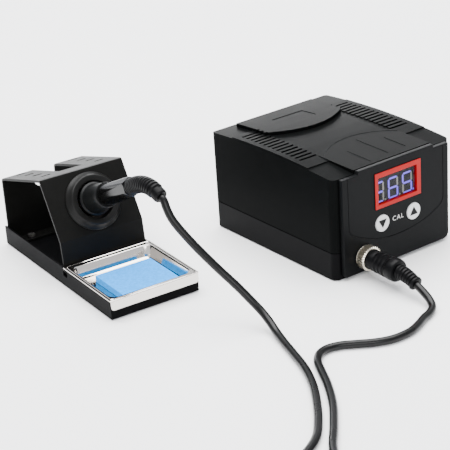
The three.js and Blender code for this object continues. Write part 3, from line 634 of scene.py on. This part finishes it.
# ---- rear side ----
# A black plate between the two shells with a fused mains inlet and a rocker switch, both
# snapped in from outside. The inlet's three flat pins are nickelled brass.
from_cad("rear_panel", "plate", black_abs, 0.0003)
from_cad("mains_inlet", "moulding", switch_plastic, 0.0003)
from_cad("fuse_drawer", "moulding", switch_plastic, 0.0003)
from_cad("switch_frame", "moulding", switch_plastic, 0.0003)
rocker_plastic = surface("rocker_plastic", "#b3231d", 0.25, 0.08, 150, 1500, 0.03)
from_cad("power_rocker", "cap", rocker_plastic, 0.0006, 3)
PIN_SIZE, PIN_Y = (0.002, 0.012, 0.004, 1), 0.1485
pins = bmesh.new()
for x, z in ((31, 46), (36, 51), (41, 46)):
    made = bmesh.ops.create_cube(pins, size=1)
    stretch = Matrix.Translation((x * MM, PIN_Y, z * MM)) @ Matrix.Diagonal(PIN_SIZE)
    bmesh.ops.transform(pins, matrix=stretch, verts=made["verts"])
bmesh.ops.bevel(pins, geom=pins.edges[:], offset=0.0004, affect="EDGES", segments=2,
                profile=0.5, material=-1)
add_piece("inlet_pins", pins, nickel, "station", place=UNIT)

# ---- inside the case ----
# A laminated mains transformer strapped to the floor, a control board and its capacitor,
# seen only as shapes through the vents.
dress(surface("laminated_steel", "#4d4f52", 0.5, 0.2, 90, 1200, 0.2, Metallic=0.8),
      "transformer_core")
dress(surface("winding_tape", "#c8a13a", 0.5, 0.12, 120, 900, 0.2), "transformer_winding")
dress(zinc_steel, "transformer_bracket")
dress(surface("capacitor_sleeve", "#1d2a55", 0.35, 0.1, 200, 900, 0.05),
      "smoothing_capacitor")

# ---- stand ----
# Two sheet-steel pressings, powder coated: a shallow folded base and a bent holder screwed
# into it, with a finger notch and cooling slots. A plastic collar lines the iron's hole.
base_paint = surface("base_paint", "#070708", 0.5, 0.12, 60, 1400, 0.2, Specular_IOR_Level=0.025)
holder_paint = surface(
    "holder_paint", "#0f0f0e", 0.4, 0.12, 60, 1400, 0.2, Specular_IOR_Level=0.045)
collar_plastic = surface(
    "collar_plastic", "#0f0f0e", 0.38, 0.1, 80, 1500, 0.1, Specular_IOR_Level=0.13)
from_cad("stand_base", "pressing", base_paint, 0.0003)
from_cad("holder_bracket", "pressing", holder_paint, 0.0002, 2, 20)
# Up the holder's sloping face, and straight out of it.
SLOPE = Vector((0, 26.4, 45.2)).normalized()
SLOPE_OUT = Vector((0, -SLOPE.z, SLOPE.y))
SLOPE_FOOT, COLLAR_UP, COLLAR_GAP = Vector((42, 83.5, 38)), 26, 0.3


def facing(direction, at):
    """Places a turned piece in the stand with its Z along the direction."""
    turn = Vector((0, 0, 1)).rotation_difference(direction).to_matrix().to_4x4()
    return STAND @ Matrix.Translation(Vector(at) * MM) @ turn


collar_seat = SLOPE_FOOT + COLLAR_UP * SLOPE + COLLAR_GAP * SLOPE_OUT
COLLAR = [
    (16, -10), (18.7, -10), (18.7, 0), (25, 0), (25, 1.2), (24.6, 1.9), (23.8, 2.5),
    (22, 5.6), (21.5, 6.5), (20.8, 7), (17.3, 7), (16.4, 6.6), (16, 5.8), (16, -10),
]
add_piece("holder_collar_ring", lathe(COLLAR, 80), collar_plastic, "station",
          ["holder_collar"], facing(SLOPE_OUT, collar_seat), 24)
dress(zinc_steel, "collar_ring")
dress(surface("guide_phenolic", "#1a120d", 0.6, 0.2, 90, 900, 0.2), "iron_guide")

# ---- sponge tray ----
# One pan pressed from bright chrome-plated sheet: a flange that rests on the stand's walls,
# an apron turned down in front, and a deep rounded well.
chrome = surface("chrome_sheet", "#d9d4ce", 0.13, 0.03, 35, 300, 0.05, 0.04, Metallic=1)


def rounded(bm, x, y, r, z, n=6):
    """A loop of points round a rectangle with round corners, in millimetres."""
    loop = []
    for cx, cy, first in ((x[1] - r, y[1] - r, 0), (x[0] + r, y[1] - r, 90),
                          (x[0] + r, y[0] + r, 180), (x[1] - r, y[0] + r, 270)):
        for k in range(n + 1):
            a = math.radians(first + 90 * k / n)
            loop.append(bm.verts.new(
                ((cx + r * math.cos(a)) * MM, (cy + r * math.sin(a)) * MM, z * MM)))
    return loop


tray = bmesh.new()
WELL = [
    (5.3, 76.7, 4.6, 71.8, 5, 6.2), (2.8, 79.2, 2.1, 74.3, 7, 17.1),
    (-0.4, 82.4, -1, 80, 1.2, 17.1), (-0.4, 82.4, -1, 80, 1.2, 17.8),
    (-0.15, 82.15, -0.75, 79.75, 1, 18), (0.9, 81.1, 0.2, 78.7, 1.6, 18),
    (1.3, 80.7, 0.6, 78.3, 1.8, 17.6), (1.7, 80.3, 1, 77.9, 2, 17.6),
    (2.1, 79.9, 1.4, 77.5, 2.2, 18), (3, 79, 2.3, 74.1, 7.6, 18),
    (3.5, 78.5, 2.8, 73.6, 7, 17.7), (3.9, 78.1, 3.2, 73.2, 6.8, 17),
    (5.4, 76.6, 4.7, 71.7, 5.6, 9.8), (5.9, 76.1, 5.2, 71.2, 5.2, 8.3),
    (7, 75, 6.3, 70.1, 4.4, 7.35), (8.6, 73.4, 7.9, 68.5, 3.4, 7.02),
]
loops = [rounded(tray, row[0:2], row[2:4], row[4], row[5]) for row in WELL]
for one, two in zip(loops, loops[1:]):
    for k in range(len(one)):
        tray.faces.new((one[k], one[k - 1], two[k - 1], two[k]))
tray.faces.new(loops[0])
tray.faces.new(loops[-1])
APRON = [(0.2, 17.6), (0.2, 11.5), (0.9, 9.8), (2.6, 9), (79.4, 9), (81.1, 9.8),
         (81.8, 11.5), (81.8, 17.6)]
APRON_Y, APRON_THICK = -0.0002, 0.0008
apron = tray.faces.new([tray.verts.new((x * MM, APRON_Y, z * MM)) for x, z in APRON])
made = bmesh.ops.extrude_face_region(tray, geom=[apron])["geom"]
front = [v for v in made if isinstance(v, bmesh.types.BMVert)]
bmesh.ops.translate(tray, verts=front, vec=(0, -APRON_THICK, 0))
add_piece("sponge_tray_pressing", tray, chrome, "tray", ["sponge_tray"],
          STAND, 30)

# ---- sponge ----
# A block of open-cell cellulose sponge cut with crisp edges, light blue, its faces pitted
# by pores of several sizes and slightly uneven from wetting and drying.
SPONGE_CENTRE, SPONGE_SIZE = (0.044, 0.03165, 0.01025), (0.0526, 0.0513, 0.0056, 1)
sponge_bm = bmesh.new()
bmesh.ops.create_cube(sponge_bm, size=1)
bmesh.ops.subdivide_edges(sponge_bm, edges=sponge_bm.edges[:], cuts=40, use_grid_fill=True)
bmesh.ops.transform(
    sponge_bm, verts=sponge_bm.verts,
    matrix=Matrix.Translation(SPONGE_CENTRE) @ Matrix.Diagonal(SPONGE_SIZE))
bmesh.ops.recalc_face_normals(sponge_bm, faces=sponge_bm.faces)
for vert in sponge_bm.verts:
    wave = noise.noise(vert.co * 60) * 0.00016 + noise.noise(vert.co * 420) * 0.00012
    vert.co += vert.normal * wave
sponge_foam = surface(
    "sponge_foam", "#0f96f2", 0.95, 0.14, 500, 1800, 0.7, 0.03, Specular_IOR_Level=0.15)
foam_tree = sponge_foam.node_tree
grain_bump = next(n for n in foam_tree.nodes if n.type == "BUMP")
pores = foam_tree.nodes.new("ShaderNodeTexVoronoi")
pores.inputs["Scale"].default_value = 620
pores.inputs["Randomness"].default_value = 1
pits = foam_tree.nodes.new("ShaderNodeBump")
pits.inputs["Strength"].default_value = 0.5
pits.inputs["Distance"].default_value = 0.0005
foam_tree.links.new(
    next(n for n in foam_tree.nodes if n.type == "TEX_COORD").outputs["Object"],
    pores.inputs["Vector"])
foam_tree.links.new(pores.outputs["Distance"], pits.inputs["Height"])
foam_tree.links.new(pits.outputs["Normal"], grain_bump.inputs["Normal"])
sponge = add_piece("sponge_block", sponge_bm, sponge_foam, "wiping_sponge",
                   ["sponge"], STAND, 50)

# ---- soldering iron ----
# A moulded sleeve with a flange that stops it in the collar, and a glossy black handle with
# six ground flats. The barrel, heater and tip are steel and ceramic inside the holder.
TILT = math.radians(26)
IRON_OUT = Vector((0, -math.cos(TILT), math.sin(TILT)))
IRON = facing(IRON_OUT, (42, 90.4, 64.6))
sleeve_plastic = surface(
    "sleeve_plastic", "#0a0b0b", 0.4, 0.12, 120, 1500, 0.1, Specular_IOR_Level=0.12)
SLEEVE = [
    (0, -14), (8, -14), (9, -2), (14, -2), (14.3, -1.7), (14.3, 0.2), (13.9, 0.7),
    (12.9, 1.4), (12.3, 4), (11.8, 8), (11.4, 12), (10.9, 18), (10.6, 23.6), (10.3, 24),
    (0, 24),
]
add_piece("iron_sleeve_moulding", lathe(SLEEVE), sleeve_plastic, "iron",
          ["iron_sleeve"], IRON)
handle_plastic = surface(
    "handle_plastic", "#050505", 0.13, 0.2, 60, 700, 0.02, 0.04, Specular_IOR_Level=0.2)
HANDLE_R, HANDLE_TAPER = 9.4, 1.2
TAPER_START, TAPER_LENGTH = 28, 45
FLATS_START, FLAT_REACH, FLAT_TAPER = 29, 9.37, 0.045
HANDLE = [(0, 24.3), (9.1, 24.3), (HANDLE_R, 24.7), (HANDLE_R, 28.4)]
HANDLE += [(HANDLE_R - HANDLE_TAPER * (t - TAPER_START) / TAPER_LENGTH, t)
           for t in range(30, 73, 2)]
HANDLE += [(8.1, 72.6), (7.8, 73), (0, 73)]
handle = lathe(HANDLE, 96)
for vert in handle.verts:
    t = vert.co.z / MM
    off_flat = (math.degrees(math.atan2(vert.co.y, vert.co.x)) + 30) % 60 - 30
    flat = (FLAT_REACH - FLAT_TAPER * (t - FLATS_START)) * MM
    limit = flat / math.cos(math.radians(off_flat))
    reach = math.hypot(vert.co.x, vert.co.y)
    if t > FLATS_START and reach > limit:
        vert.co.x *= limit / reach
        vert.co.y *= limit / reach
add_piece("iron_handle_moulding", handle, handle_plastic, "iron",
          ["iron_handle"], IRON, 25)
BOOT_ROUTE = [(42, 24.6, 96.6), (42, 16, 100.8), (42.1, 7.5, 103.9), (42.4, -1, 105.2),
              (43, -9.5, 104.4), (44.3, -18, 100.5)]
boot_route = [[c * MM for c in p] for p in BOOT_ROUTE]
add_piece("iron_boot_ribbed", ribbed(boot_route, 7.3, 6.5, 6, 14, 1.2), soft_black, "iron",
          ["iron_boot"], STAND)
dress(nickel, "barrel_nut")
dress(surface("stainless", "#bdbab4", 0.3, 0.12, 200, 1200, 0.1, Metallic=1), "barrel_tube")
dress(surface("ceramic", "#e8e2d4", 0.8, 0.06, 200, 1500, 0.15), "heater_element")
dress(surface("tip_plating", "#8f8f8a", 0.35, 0.2, 200, 1500, 0.15, Metallic=1),
      "soldering_tip")
